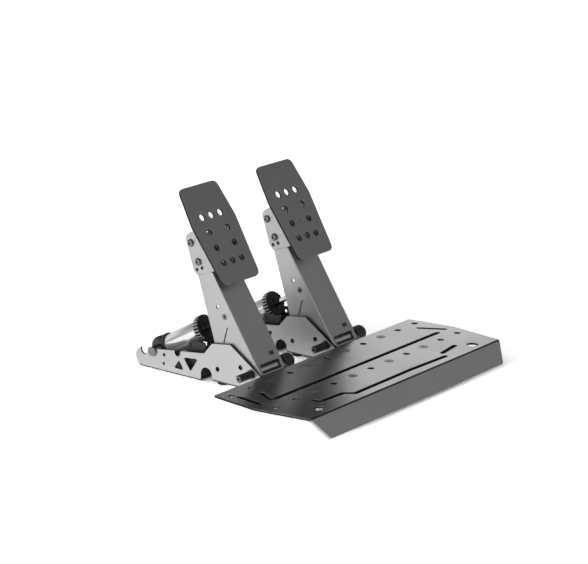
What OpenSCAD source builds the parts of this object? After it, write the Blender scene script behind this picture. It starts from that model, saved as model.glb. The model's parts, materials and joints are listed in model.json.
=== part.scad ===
// Sim racing pedal set: brake and throttle on one heel plate.
// X runs to the driver's right, Y away from the driver, Z up from the floor.
// Side profiles are drawn from the pedal pivot: Y behind it, Z from the floor.

/* [Set] */
// Distance between the middles of the two pedals
pedal_spacing = 160; // [130:1:200]
// Height of the pivot axis over the floor
pivot_h = 28; // [26:0.5:30]
// Backward tilt of the arms from upright, in degrees
arm_tilt = 33; // [28:0.5:36]
// Travel of the brake pedal, in degrees
brake_travel = 10; // [4:0.5:11]
// Travel of the throttle pedal, in degrees
throttle_travel = 17; // [8:0.5:17]

/* [Sheet metal] */
// Sheet of the base frames
frame_t = 3; // [2:0.5:3.5]
// Sheet of the pedal arms and face brackets
arm_t = 3; // [2:0.5:3.5]
// Sheet of the heel plate
heel_t = 3; // [2:0.5:4]
// Inner radius of the folds
fold_r = 2; // [1:0.5:3]

/* [Heel plate] */
// Height of the heel plate's underside over the floor
deck_h = 28; // [26:0.5:30]
// Pitch of the two rows of holes
hole_pitch = 40; // [36:0.5:42]
// Places in each row
row_count = 11; // [9:2:11]
// Distance from the pivot axis to the rear row
rear_row = 41; // [38:0.5:46]
// Distance between the rows
row_gap = 72; // [60:0.5:76]
// Diameter of the open holes
hole_d = 8.4; // [6:0.1:9]
// Diameter of the two big holes near the fold
big_hole_d = 15; // [10:0.5:18]
// Distance from the middle to a big hole
big_hole_x = 169; // [150:0.5:180]
// Distance from the pivot axis to the big holes
big_hole_y = 159; // [150:0.5:162]
// Distance from the pivot axis to the plate's rear edge
heel_rear = 22; // [20:0.5:26]
// Distance from the pivot axis to the widest place
heel_kink = 96; // [80:0.5:110]
// Distance from the pivot axis to the fold
heel_fold = 176; // [174:0.5:190]
// Half width at the rear edge
heel_half_rear = 213; // [212:0.5:220]
// Half width at the widest place
heel_half_kink = 222; // [218:0.5:230]
// Half width at the fold
heel_half_fold = 210; // [200:0.5:216]
// Half width at the end of the lip
heel_half_lip = 192; // [180:0.5:200]
// Length of the lip from the fold
lip_len = 32; // [20:0.5:33]
// Slope of the lip down from level, in degrees
lip_angle = 54; // [40:0.5:60]
// Width of the pressed grooves
groove_w = 6.5; // [3:0.5:7]
// Depth of the pressed grooves
groove_deep = 2.2; // [0.6:0.1:2.4]

/* [Heel plate screws] */
// Thread diameter
heel_screw_d = 6; // [4:0.5:7]
// Head diameter
heel_head_d = 12; // [10:0.5:13]
// Nut across its flats
heel_nut_af = 10; // [8:0.5:11]
// Nut height
heel_nut_h = 5; // [3:0.5:5]
// Distance of the screws from a pedal's middle
heel_screw_x = 40; // [38:0.5:42]

/* [Base frame] */
// Outer half width over the side plates
frame_half = 30; // [28.5:0.5:31]
// Distance from the pivot axis to the rear tip
frame_rear = 202.5; // [200:0.5:215]
// Distance from the pivot axis to the front end
frame_front = 130; // [125:0.5:145]
// Reach of the flanges under the heel plate, from the middle
flange_half = 50; // [48:0.5:60]
// Height of the hump beside the arm
hump_h = 61.5; // [54:0.5:66]
// Step up of the floor in front of the arch
floor_step = 4; // [3:0.5:5]
// Radius of the arch
arch_r = 9.5; // [7:0.5:11]
// Distance from the pivot axis to the arch
arch_y = 77.5; // [75:0.5:80]
// Height of the arch
arch_h = 21.5; // [16:0.5:24]
// Diameter of the frame's bolt holes
base_hole_d = 8.4; // [6:0.1:9]
// Distance of these holes from a pedal's middle
base_hole_x = 17; // [14:0.5:18]
// Distance from the pivot axis to the front pair
base_hole_front = 134; // [130:0.5:140]
// Distance from the pivot axis to the rear pair
base_hole_rear = 190; // [186:0.5:192]
// Diameter of the feet under the raised floor
foot_d = 16; // [12:0.5:18]

/* [Pedal arm] */
// Outer half width of the arm
arm_half = 26; // [25:0.25:26.25]
// Distance of the web's front face from the pivot axis
web_front = 11; // [10:0.5:12]
// Length from the pivot axis to the top
arm_len = 198; // [195:0.5:200]
// Length from the pivot axis to the bottom of the web
arm_below = 8.5; // [8:0.5:9]
// Depth of the side walls at their widest, behind the pivot axis
wall_deep = 43; // [38:0.5:44]
// Width of the window at the pivot
window_w = 41; // [30:1:43]
// Height of the window at the pivot
window_h = 12; // [8:0.5:12]

/* [Pivot] */
// Diameter of the axle
axle_d = 8; // [6:0.5:9]
// How far the axle stands out on the left
axle_out = 27; // [15:0.5:35]
// Outer diameter of the sleeve on its left end
sleeve_d = 10.5; // [10:0.5:12]
// Diameter of the washers on the axle
axle_washer_d = 14; // [13:0.5:16]
// Outer diameter of the tube across the arm
pivot_tube_d = 14; // [13.5:0.5:15]
// Wall of the pivot bushes
bush_wall = 1; // [0.8:0.1:1.2]
// Length of a pivot bush
bush_len = 12; // [8:0.5:16]
// Radial running clearance of axle and pins
run_gap = 0.05; // [0.02:0.01:0.08]
// Diameter of the position sensor's housing
sensor_d = 21.5; // [18:0.5:24]
// Length of the position sensor's housing
sensor_len = 20; // [12:0.5:26]

/* [Face bracket] */
// Height of its lower end over the pivot, along the arm
bracket_low = 121; // [118:0.5:130]
// Height of its upper end over the pivot, along the arm
bracket_high = 203; // [200:0.5:205]
// Height of the flanges' lower edge
bracket_flange_low = 140; // [138:0.5:146]
// Distance from the pivot axis to its front face
bracket_front = 27; // [24:0.5:30]
// Diameter of the bracket bolts
bracket_bolt_d = 6; // [4:0.5:6]
// Diameter of their button heads
bracket_head_d = 10.5; // [9:0.5:11]
// Across flats of their nuts
bracket_nut_af = 10; // [8:0.5:10]

/* [Face plate] */
// Thickness
face_t = 3; // [2:0.5:4]
// Half width at the widest place
face_half = 44; // [40:0.5:48]
// Half width at the two ends
face_half_end = 37.5; // [32:0.5:42]
// Height of the lower edge over the pivot, along the arm
face_low = 117; // [110:0.5:120]
// Height of the widest place
face_wide = 204.5; // [190:0.5:215]
// Height of the upper edge
face_high = 257.5; // [250:0.5:262]
// Radius of the corners
face_corner = 9; // [4:0.5:12]
// Pitch of the columns of holes
face_col = 18.4; // [16:0.1:20]
// Pitch of the rows of holes
face_row = 22; // [20:0.1:23]
// Height of the top row of holes
face_top_row = 213.3; // [211:0.1:216]
// Diameter of the holes
face_hole_d = 9.4; // [7:0.1:10]
// Diameter of the face screws
face_screw_d = 5; // [4:0.5:6]
// Diameter of their heads
face_head_d = 10; // [8:0.5:10.5]

/* [Cylinder] */
// Distance from the pivot axis back to the rear pin
rear_pin_y = 171.5; // [170:0.5:172]
// Height of the rear pin over the floor
rear_pin_z = 26; // [25:0.5:27]
// Diameter of the rear pin
rear_pin_d = 13; // [10:0.5:14]
// How far the rear pin stands out of the side plates
rear_pin_out = 2.5; // [2:0.5:8]
// Height of the arm's rod pin over the pivot, along the arm
rod_pin_up = 83.8; // [78:0.2:88]
// Distance of the rod pin behind the pivot axis, square to the arm
rod_pin_back = 3.1; // [1:0.1:4]
// Diameter of the rod pin
rod_pin_d = 8; // [6:0.5:9]
// Play of the brake rod's eye round its pin
brake_eye_play = 0.45; // [0.4:0.05:1.2]
// The same for the throttle
throttle_eye_play = 1; // [0.9:0.05:1.4]
// Outer diameter of the tube
tube_d = 28; // [26:0.5:30]
// Wall of the tube
tube_wall = 2; // [1:0.25:2.5]
// Distance from the rear pin to the tube's rear end
tube_start = 9.5; // [8:0.5:12]
// Radius of the end cap's lug round the rear pin
lug_r = 17; // [14:0.5:18]
// Half width of the lug
lug_half = 13; // [10:0.5:16]
// Wall of the end cap's ring outside the tube
ring_wall = 2.6; // [1:0.1:3]
// Length of that ring
ring_len = 4; // [3:0.5:6]
// Diameter of the push rod
rod_d = 8; // [6:0.5:9]
// Distance from the rear pin to the front face of the brake's knob
brake_knob_front = 82; // [80:0.5:88]
// The same for the throttle's knob
throttle_knob_front = 70; // [69:0.5:76]
// Diameter of the knobs over their ribs
knob_d = 37; // [33:0.5:37]
// Thickness of the knobs
knob_len = 10; // [8:0.5:12]
// Number of ribs round a knob
rib_count = 24; // [12:1:26]
// Depth of the grooves between them
rib_deep = 1.6; // [0.6:0.1:2]

/* [Cylinder inside] */
// Elastomers in the brake's stack
pad_count = 4; // [2:1:5]
// Washers between them
pad_washer = 1; // [0.5:0.1:1.5]
// Wire of the throttle's spring
wire_d = 2; // [1.4:0.1:2.2]

/* [Controller box] */
// Half width of the box between the side plates
box_half = 22.2; // [21:0.1:22.4]
// Length of the box
box_len = 36; // [30:0.5:38]
// Height of the box over the frame's floor
box_h = 31; // [20:0.5:31]
// Height of its ears over the floor
ear_h = 52; // [46:0.5:54]

/* [Hidden] */
$fn = 48;

// The set's reach before and behind the pivot axis puts its middle at y = 0
front_reach = heel_fold + lip_len*cos(lip_angle);
pivot_y = (front_reach - frame_rear)/2;
heel_top = deck_h + heel_t;
heel_under = deck_h;
frame_in = frame_half - frame_t;
arm_in = arm_half - arm_t;
bracket_back = bracket_front - arm_t;
face_front = bracket_front + face_t;
tube_in = tube_d - 2*tube_wall;
knob_wall = 3;
face_nut_h = 4;
gland_len = 6;
gland_in = 2;
piston_len = 4;
spigot_len = 5;
stack_start = tube_start + spigot_len + 0.2;
piston_gap = 0.3;
heel_nut_seat = heel_under - frame_t;

// Rod pin from the pivot, in the set's own directions
rod_pin_y = rod_pin_up*sin(arm_tilt) + rod_pin_back*cos(arm_tilt);
rod_pin_z = pivot_h + rod_pin_up*cos(arm_tilt) - rod_pin_back*sin(arm_tilt);
cyl_rise = atan2(rod_pin_z - rear_pin_z, rear_pin_y - rod_pin_y);
cyl_len = norm([rear_pin_y - rod_pin_y, rod_pin_z - rear_pin_z]);

// How far the rod moves into the tube while the arm turns by a degrees
function stroke(a) =
    let (up = rod_pin_z - pivot_h)
    let (y = rod_pin_y*cos(a) + up*sin(a), z = up*cos(a) - rod_pin_y*sin(a))
    cyl_len - norm([rear_pin_y - y, pivot_h + z - rear_pin_z]);

// Rear face of the piston at rest, from the rear pin
function piston_rear(knob_front) =
    knob_front - knob_wall - gland_in - gland_len - piston_gap - piston_len;

dark = "#2c2d30";
plate_grey = "#3d3e42";
metal = "#c9cacc";
black = "#161617";

// A polygon whose corners are rounded: each point is [x, y, radius]
function unit(v) = v/norm(v);
function arc_at(c, r, a, sweep, n) =
    [for (i = [0 : n]) c + r*[cos(a + sweep*i/n), sin(a + sweep*i/n)]];
function corner(a, b, c, r, n) =
    let (u = unit(a - b), v = unit(c - b), half = acos(u*v)/2)
    let (m = b + unit(u + v)*r/sin(half))
    let (p = b + u*r/tan(half) - m, q = b + v*r/tan(half) - m)
    let (start = atan2(p.y, p.x), turn = atan2(q.y, q.x) - start)
    arc_at(m, r, start, turn > 180 ? turn - 360 : turn < -180 ? turn + 360 : turn, n);
function flat(p) = [p.x, p.y];
function rounded(pts, n = 6) =
    let (k = len(pts))
    [for (i = [0 : k - 1])
        each pts[i][2] > 0
            ? corner(flat(pts[(i + k - 1) % k]), flat(pts[i]), flat(pts[(i + 1) % k]),
                     pts[i][2], n)
            : [flat(pts[i])]];
function mirrored(pts) =
    concat(pts, [for (i = [len(pts) - 1 : -1 : 0]) [-pts[i].x, pts[i].y, pts[i][2]]]);

// A round bar along X from x0 to x1
module bar_x(d, x0, x1) {
    translate([x0, 0, 0])
        rotate([0, 90, 0])
            cylinder(d = d, h = x1 - x0);
}

// A profile in Y and Z, drawn out along X from x0 to x1
module side_profile(x0, x1) {
    translate([x0, 0, 0])
        rotate([90, 0, 90])
            linear_extrude(x1 - x0)
                children();
}

// A section in X and Z, drawn out along Y from y0 to y1
module cross_section(y0, y1) {
    translate([0, y1, 0])
        rotate([90, 0, 0])
            linear_extrude(y1 - y0)
                children();
}

// The same on both sides of a pedal
module both_sides() {
    children();
    mirror([1, 0, 0])
        children();
}

module hex_nut(af, hole, h) {
    difference() {
        cylinder(d = af/cos(30), h = h, $fn = 6);
        translate([0, 0, -1])
            cylinder(d = hole, h = h + 2);
    }
}

// Places the pedal's own frame: side -1 is the brake, 1 the throttle
module at_pedal(side) {
    translate([side*pedal_spacing/2, pivot_y, 0])
        children();
}

// The arm's frame: Z along the arm from the pivot, Y square to it and away
module at_arm(side) {
    at_pedal(side)
        translate([0, 0, pivot_h])
            rotate([-arm_tilt, 0, 0])
                children();
}

// The cylinder's frame: Z along it from the rear pin to the arm
module at_cylinder(side) {
    at_pedal(side)
        translate([0, rear_pin_y, rear_pin_z])
            rotate([90 - cyl_rise, 0, 0])
                children();
}

// Heel plate

// The bent sheet from the side
module heel_bend() {
    r_out = fold_r + heel_t;
    run = r_out*tan(lip_angle/2);
    bend_y = -heel_fold + run;
    bend_z = heel_top - r_out;
    // Flat, then the fold, then the lip
    polygon(concat(
        [[-heel_rear, heel_under], [-heel_rear, heel_top]],
        arc_at([bend_y, bend_z], r_out, 90, lip_angle, 8),
        [[-heel_fold - lip_len*cos(lip_angle), heel_top - lip_len*sin(lip_angle)],
         [-heel_fold - lip_len*cos(lip_angle) + heel_t*sin(lip_angle),
          heel_top - lip_len*sin(lip_angle) - heel_t*cos(lip_angle)]],
        arc_at([bend_y, bend_z], fold_r, 90 + lip_angle, -lip_angle, 8)
    ));
}

module heel_outline() {
    tip = heel_fold + lip_len*cos(lip_angle);
    polygon(rounded(mirrored([
        [heel_half_rear, -heel_rear, 3],
        [heel_half_kink, -heel_kink, 30],
        [heel_half_fold, -heel_fold, 6],
        [heel_half_lip, -tip, 7]
    ])));
}

module groove(a, b) {
    run = b - a;
    translate([a.x, a.y, heel_top - groove_deep])
        rotate([0, 0, atan2(run.y, run.x)]) {
            translate([0, -groove_w/2, 0])
                cube([norm(run), groove_w, groove_deep + 1]);
            cylinder(d = groove_w, h = groove_deep + 1);
            translate([norm(run), 0, 0])
                cylinder(d = groove_w, h = groove_deep + 1);
        }
}

// The pressed lines of the plate, from the side edges to the middle
module grooves() {
    groove([-198, -52], [-202, -88]);
    groove([186, -58], [204, -89]);
    groove([-168, -65], [-180, -89]);
    groove([-174, -91], [184, -91]);
    groove([-148, -132], [-148, -141]);
    groove([-143, -143], [-104, -145]);
    groove([-104, -145], [-94, -158]);
    groove([-94, -158], [28, -157]);
    groove([28, -157], [104, -160]);
    groove([113, -149], [150, -143]);
}

// Places in a row that carry a screw, and places that stay open
function is_screw(x) =
    len([for (s = [-1, 1], k = [-1, 1])
        if (abs(x - s*pedal_spacing/2 - k*heel_screw_x) < hole_pitch/2) 1]) > 0;
open_x = [for (i = [0 : row_count - 1])
    let (x = (i - (row_count - 1)/2)*hole_pitch) if (!is_screw(x)) x];
screw_x = [for (s = [-1, 1], k = [-1, 1]) s*pedal_spacing/2 + k*heel_screw_x];
rows = [-rear_row, -rear_row - row_gap];

module heel_plate() {
    color(plate_grey)
        translate([0, pivot_y, 0])
            difference() {
                intersection() {
                    side_profile(-heel_half_kink - 5, heel_half_kink + 5)
                        heel_bend();
                    translate([0, 0, -5])
                        linear_extrude(heel_top + 10)
                            heel_outline();
                }
                grooves();
                for (y = rows, x = open_x)
                    translate([x, y, heel_under - 1])
                        cylinder(d = hole_d, h = heel_t + 2);
                for (y = rows, x = screw_x)
                    translate([x, y, heel_top])
                        countersink(heel_screw_d + 0.4, heel_head_d + 0.2);
                for (s = [-1, 1])
                    translate([s*big_hole_x, -big_hole_y, heel_under - 1])
                        cylinder(d = big_hole_d, h = heel_t + 2);
            }
}

// A screw hole with its cone, cut down from z = 0
module countersink(d, head) {
    cone = (head - d)/2;
    translate([0, 0, -20])
        cylinder(d = d, h = 21);
    translate([0, 0, -cone])
        cylinder(d1 = d, d2 = head, h = cone);
    cylinder(d = head, h = 1);
}

// A countersunk screw with a hexagon socket, its head's top at z = 0
module flush_screw(d, head, length) {
    cone = (head - d)/2;
    difference() {
        union() {
            translate([0, 0, -cone])
                cylinder(d1 = d, d2 = head, h = cone);
            translate([0, 0, -length])
                cylinder(d = d, h = length - cone + 0.01);
        }
        translate([0, 0, -cone*0.7])
            cylinder(d = d*0.7, h = cone, $fn = 6);
    }
}

module heel_plate_screws() {
    reach = heel_top - heel_nut_seat + heel_nut_h + 1;
    color(black)
        translate([0, pivot_y, heel_top])
            for (y = rows, x = screw_x)
                translate([x, y, 0])
                    flush_screw(heel_screw_d, heel_head_d, reach);
}

module heel_plate_nuts() {
    color(metal)
        translate([0, pivot_y, heel_nut_seat - heel_nut_h])
            for (y = rows, x = screw_x)
                translate([x, y, 0])
                    hex_nut(heel_nut_af, heel_screw_d + 0.2, heel_nut_h);
}

// Base frame

notch_r = rear_pin_d/2 + 0.1;
hump_rear = 67;
hump_front = 36;

// A slot that is open upward with a round foot
module notch(y, z, r) {
    translate([y, z])
        circle(r = r);
    translate([y - r, z])
        square([2*r, 40]);
}

module frame_outline() {
    slant_y = -15;
    difference() {
        polygon(rounded([
            [frame_rear - 7.5, 0, 2],
            [frame_rear - 2, 9.5, 6],
            [frame_rear, 15, 3],
            [frame_rear, 18.5, 3],
            [frame_rear - 3.5, 24, 4],
            [frame_rear - 9.5, 28.4, 2],
            [163, 31, 1],
            [133, 34.8, 0],
            [81, 41, 1.5],
            [hump_rear, hump_h - 4.3, 4],
            [hump_front, hump_h, 4],
            [slant_y, heel_under - 0.5, 2],
            [-frame_front, heel_under - 0.5, 0],
            [-frame_front, floor_step, 3],
            [arch_y - arch_r, floor_step, 1],
            [arch_y - arch_r, 0.01, 0],
            [arch_y + arch_r, 0.01, 0],
            [arch_y + arch_r, 0, 0]
        ]));
        translate([arch_y, arch_h - arch_r])
            circle(r = arch_r);
        translate([arch_y - arch_r, -1])
            square([2*arch_r, arch_h - arch_r + 1]);
        notch(rear_pin_y, rear_pin_z, notch_r);
        notch(frame_rear - 15.5, 25.5, 6);
        notch(127.7, 32.5, 5);
        polygon(rounded([[125.5, 22.5, 1.6], [134, 10.5, 1.6], [117, 10.5, 1.6]]));
        polygon(rounded([[117, 28, 1.6], [92, 30.3, 1.6], [105, 11, 1.6]]));
        translate([151.5, 25])
            circle(d = 4.5);
        translate([152.3, 12.6])
            circle(d = 4);
        translate([58, 23.4])
            circle(d = 6.6);
        translate([18.5, 33.5])
            circle(d = 6.6);
        translate([0, pivot_h])
            circle(d = axle_d + 2*run_gap);
    }
}

// The channel's section, its floor at z0 and its side plates up to z1
module channel(z0, z1) {
    r = fold_r + frame_t;
    polygon(concat(
        [[-frame_in, z1], [-frame_half, z1]],
        arc_at([-frame_half + r, z0 + r], r, 180, 90, 6),
        arc_at([frame_half - r, z0 + r], r, 270, 90, 6),
        [[frame_half, z1], [frame_in, z1]],
        arc_at([frame_half - r, z0 + r], fold_r, 0, -90, 6),
        arc_at([-frame_half + r, z0 + r], fold_r, 270, -90, 6)
    ));
}

// One flange turned outward under the heel plate, with its fold
module flange_section() {
    r = fold_r + frame_t;
    z = heel_under - r;
    polygon(concat(
        [[flange_half, heel_under], [flange_half, heel_under - frame_t]],
        arc_at([frame_half + fold_r, z], fold_r, 90, 90, 6),
        [[frame_in, z]],
        arc_at([frame_half + fold_r, z], r, 180, -90, 6)
    ));
}

module base_frame(side) {
    color("#b9babc")
        at_pedal(side)
            difference() {
                union() {
                    intersection() {
                        union() {
                            cross_section(arch_y, frame_rear + 1)
                                channel(0, hump_h + 5);
                            cross_section(-heel_rear - 2, arch_y)
                                channel(floor_step, hump_h + 5);
                        }
                        side_profile(-frame_half - 1, frame_half + 1)
                            frame_outline();
                    }
                    cross_section(-frame_front, -heel_rear - 2)
                        channel(floor_step, heel_under - fold_r - frame_t);
                    cross_section(-frame_front, -heel_rear - 2)
                        both_sides()
                            flange_section();
                }
                for (x = [-1, 1], y = [base_hole_front, base_hole_rear])
                    translate([x*base_hole_x, y, -1])
                        cylinder(d = base_hole_d, h = frame_t + 2);
                for (x = [-1, 1], y = rows)
                    translate([x*heel_screw_x, y, heel_nut_seat - 1])
                        cylinder(d = heel_screw_d + 0.4, h = frame_t + 2);
                for (x = [-1, 1], y = foot_y)
                    translate([x*foot_x, y, floor_step - 1])
                        cylinder(d = 5.2, h = frame_t + 2);
                for (x = [-1, 1])
                    translate([x*box_screw_x, box_mid, 0])
                        rotate([180, 0, 0])
                            countersink(box_screw_d + 0.2, 6.4);
            }
}

foot_x = 17;
foot_y = [arch_y - arch_r - foot_d/2 - 2, -frame_front + foot_d/2 + 4];

// Feet with a stem that grips the floor from below
module feet(side) {
    color(black)
        at_pedal(side)
            for (x = [-1, 1], y = foot_y)
                translate([x*foot_x, y, 0]) {
                    cylinder(d1 = foot_d - 1.6, d2 = foot_d, h = 0.8);
                    translate([0, 0, 0.8])
                        cylinder(d = foot_d, h = floor_step - 0.8);
                    translate([0, 0, floor_step - 0.01])
                        cylinder(d = 5, h = frame_t + 1);
                    translate([0, 0, floor_step + frame_t])
                        cylinder(d1 = 7.4, d2 = 5.4, h = 2);
                }
}

// Controller box between the side plates

box_front = 84;
box_mid = box_front + box_len/2;
box_screw_x = 12;
box_screw_d = 3.5;

module controller_box(side) {
    top = frame_t + box_h;
    color(black)
        at_pedal(side)
            difference() {
                union() {
                    side_profile(-box_half, box_half)
                        polygon(rounded([
                            [box_front + 5, frame_t, 0],
                            [box_front + 5, top - 6, 2],
                            [box_front + 10, top, 2],
                            [box_front + box_len - 6, top, 2],
                            [box_front + box_len, top - 6, 2],
                            [box_front + box_len, frame_t, 0]
                        ]));
                    both_sides()
                        side_profile(-box_half, -box_half + 2.8)
                            difference() {
                                polygon(rounded([
                                    [box_front + 6, top - 8, 0],
                                    [box_front + 6, top + 3, 2],
                                    [box_front, top + 12, 2],
                                    [box_front + 3, ear_h, 2],
                                    [box_front + box_len - 8, ear_h, 5],
                                    [box_front + box_len - 2, top + 6, 4],
                                    [box_front + box_len - 2, top - 8, 0]
                                ]));
                                translate([box_front + 25, ear_h - 7])
                                    circle(d = 5);
                            }
                }
                // Cable outlet at the rear end
                translate([0, box_front + box_len - 3, frame_t + 12])
                    rotate([-90, 0, 0])
                        cylinder(d = 12, h = 5);
                for (x = [-1, 1])
                    translate([x*box_screw_x, box_mid, frame_t - 1])
                        cylinder(d = box_screw_d + 0.1, h = 9);
            }
}

// Two screws hold the box from below
module box_screws(side) {
    color(metal)
        at_pedal(side)
            for (x = [-1, 1])
                translate([x*box_screw_x, box_mid, 0])
                    rotate([180, 0, 0])
                        flush_screw(box_screw_d, 6.2, frame_t + 6);
}

// Pivot

module pivot_axle(side) {
    color(metal)
        at_pedal(side)
            translate([0, 0, pivot_h])
                difference() {
                    bar_x(axle_d, -frame_half - axle_out, frame_half + 8);
                    translate([-frame_half - axle_out - 1, 0, 0])
                        rotate([0, 90, 0])
                            cylinder(d = axle_d*0.55, h = 5, $fn = 6);
                }
}

washer_t = 1.5;

module axle_sleeve(side) {
    color(black)
        at_pedal(side)
            translate([0, 0, pivot_h])
                difference() {
                    bar_x(sleeve_d, -frame_half - axle_out + 1, -frame_half - washer_t);
                    bar_x(axle_d + 0.1, -frame_half - axle_out, -frame_half);
                }
}

module axle_washers(side) {
    color(metal)
        at_pedal(side)
            translate([0, 0, pivot_h])
                difference() {
                    bar_x(axle_washer_d, -frame_half - washer_t, -frame_half);
                    bar_x(axle_d + 0.2, -frame_half - 5, -frame_half + 1);
                }
}

bush_d = axle_d + 2*run_gap + 2*bush_wall;
flange_gap = frame_in - arm_half;

module pivot_bushes(side) {
    color("#8c6b3f")
        at_arm(side)
            both_sides()
                difference() {
                    union() {
                        bar_x(bush_d, arm_half - bush_len, arm_half);
                        bar_x(bush_d + 5, arm_half, arm_half + flange_gap*0.7);
                    }
                    bar_x(axle_d + 2*run_gap, arm_half - bush_len - 1, frame_half);
                }
}

module pivot_tube(side) {
    color(metal)
        at_arm(side)
            difference() {
                bar_x(pivot_tube_d, -arm_half, arm_half);
                bar_x(bush_d + 0.1, -arm_half - 1, -arm_half + bush_len);
                bar_x(bush_d + 0.1, arm_half - bush_len, arm_half + 1);
                bar_x(axle_d + 1, -arm_half, arm_half);
            }
}

module sensor_housing(side) {
    back = frame_half + sensor_len;
    color(black)
        at_pedal(side)
            translate([0, 0, pivot_h])
                difference() {
                    union() {
                        bar_x(sensor_d, frame_half, back - 3);
                        translate([back - 3, 0, 0])
                            rotate([0, 90, 0])
                                cylinder(d1 = sensor_d, d2 = sensor_d - 3, h = 3);
                    }
                    bar_x(axle_d + 0.6, frame_half - 1, frame_half + 9);
                    // Two screws hold the lid
                    for (a = [45, 225])
                        rotate([a, 0, 0])
                            translate([back - 1.2, 0, sensor_d/2 - 4])
                                rotate([0, 90, 0])
                                    cylinder(d = 3, h = 2);
                }
}

// Pedal arm

// A side wall in the arm's frame: it widens downward and rounds the pivot
module wall_outline() {
    difference() {
        polygon(rounded([
            [-web_front, -arm_below, 4],
            [-web_front, arm_len, 2],
            [1, arm_len, 6],
            [14, 150, 12],
            [35, 75, 30],
            [wall_deep, 46, 12],
            [30, 12, 12],
            [9, -arm_below - 3, 9],
            [-5, -arm_below - 3, 5]
        ]));
        circle(d = pivot_tube_d + 0.1);
        translate([rod_pin_back, rod_pin_up])
            circle(d = rod_pin_d + 0.1);
        translate([7, rod_pin_up + 16])
            circle(d = 5);
        for (p = bolt_places)
            translate(p)
                circle(d = bracket_bolt_d + 0.3);
        for (p = pin_hole_places)
            translate(p)
                circle(d = 4.6);
        // Relief slit
        translate([6, 69.5])
            rotate(48)
                translate([0, -0.8])
                    mirror([0, 1])
                        square([1.6, 23]);
    }
}

module pedal_arm(side) {
    color("#a9aaad")
        at_arm(side)
            difference() {
                union() {
                    both_sides()
                        side_profile(arm_in, arm_half)
                            wall_outline();
                    translate([-arm_half, -web_front, -arm_below + 2])
                        cube([2*arm_half, arm_t, arm_len + arm_below - 4]);
                    translate([-arm_half + 3, -web_front, -arm_below])
                        cube([2*arm_half - 6, arm_t, 4]);
                }
                // Window that shows the pivot tube
                translate([0, -web_front - 1, 0])
                    rotate([-90, 0, 0])
                        linear_extrude(arm_t + 2)
                            polygon(rounded([
                                [-window_w/2, -window_h/2, 2],
                                [window_w/2, -window_h/2, 2],
                                [window_w/2, window_h/2, 2],
                                [-window_w/2, window_h/2, 2]
                            ]));
                // Small slot for the sensor cable's clip
                translate([7, -web_front - 1, window_h/2 + 8])
                    cube([10, arm_t + 2, 5]);
                // The web's outer edges carry the round of the folds
                both_sides()
                    translate([arm_half, -web_front, -arm_below - 2])
                        difference() {
                            translate([-fold_r, -1, 0])
                                cube([fold_r + 1, fold_r + 1, arm_len + arm_below + 4]);
                            translate([-fold_r, fold_r, -1])
                                cylinder(r = fold_r, h = arm_len + arm_below + 6);
                        }
            }
}

// Face bracket

// Bolts and small holes, as [behind the pivot axis, along the arm]
bolt_places = [[-1.6, 190.7], [0.5, 163.9]];
pin_hole_places = [[8.6, 155.9], [-0.7, 154.3]];
face_screw_w = [face_top_row - face_row, face_top_row - 2*face_row];

module bracket_side() {
    difference() {
        polygon(rounded([
            [-bracket_front, bracket_flange_low, 0],
            [-bracket_front, bracket_high, 0],
            [2.5, bracket_high, 8],
            [14.8, 158, 6],
            [12.5, bracket_flange_low + 9, 3]
        ]));
        for (p = bolt_places)
            translate(p)
                circle(d = bracket_bolt_d + 0.3);
        for (p = pin_hole_places)
            translate(p)
                circle(d = 4.6);
    }
}

module face_bracket(side) {
    out = arm_half + arm_t;
    color("#a2a3a6")
        at_arm(side)
            difference() {
                union() {
                    both_sides()
                        side_profile(arm_half, out)
                            bracket_side();
                    translate([0, -bracket_back, 0])
                        rotate([90, 0, 0])
                            linear_extrude(arm_t)
                                polygon(rounded(mirrored([
                                    [out, bracket_high, 2],
                                    [out, bracket_low + 8, 0],
                                    [out - 6, bracket_low, 4]
                                ])));
                }
                for (w = face_screw_w)
                    translate([0, -bracket_front - 1, w])
                        rotate([-90, 0, 0])
                            cylinder(d = face_screw_d + 0.2, h = arm_t + 2);
                // The face's holes go on through the bracket's front
                for (i = [-1 : 1], j = [1 : 3])
                    if (i != 0 || j == 3)
                        translate([i*face_col, -bracket_front - 1, face_top_row - j*face_row])
                            rotate([-90, 0, 0])
                                cylinder(d = face_hole_d, h = arm_t + 2);
                both_sides()
                    translate([out, -bracket_front, bracket_low - 2])
                        difference() {
                            translate([-fold_r, -1, 0])
                                cube([fold_r + 1, fold_r + 1, 100]);
                            translate([-fold_r, fold_r, -1])
                                cylinder(r = fold_r, h = 102);
                        }
            }
}

module bracket_bolts(side) {
    seat = arm_half + arm_t;
    color(black)
        at_arm(side)
            both_sides()
                for (p = bolt_places)
                    translate([seat, p.x, p.y])
                        rotate([0, 90, 0])
                            difference() {
                                union() {
                                    translate([0, 0, -2*arm_t - 6])
                                        cylinder(d = bracket_bolt_d, h = 2*arm_t + 6.01);
                                    cylinder(d = bracket_head_d, h = 1.2);
                                    translate([0, 0, 1.2])
                                        cylinder(d1 = bracket_head_d,
                                                 d2 = bracket_head_d*0.55, h = 2.1);
                                }
                                translate([0, 0, 1.4])
                                    cylinder(d = 4, h = 3, $fn = 6);
                            }
}

module bracket_nuts(side) {
    color(metal)
        at_arm(side)
            both_sides()
                for (p = bolt_places)
                    translate([arm_in - 5, p.x, p.y])
                        rotate([0, 90, 0])
                            hex_nut(bracket_nut_af, bracket_bolt_d + 0.2, 5);
}

// Face plate

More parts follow.
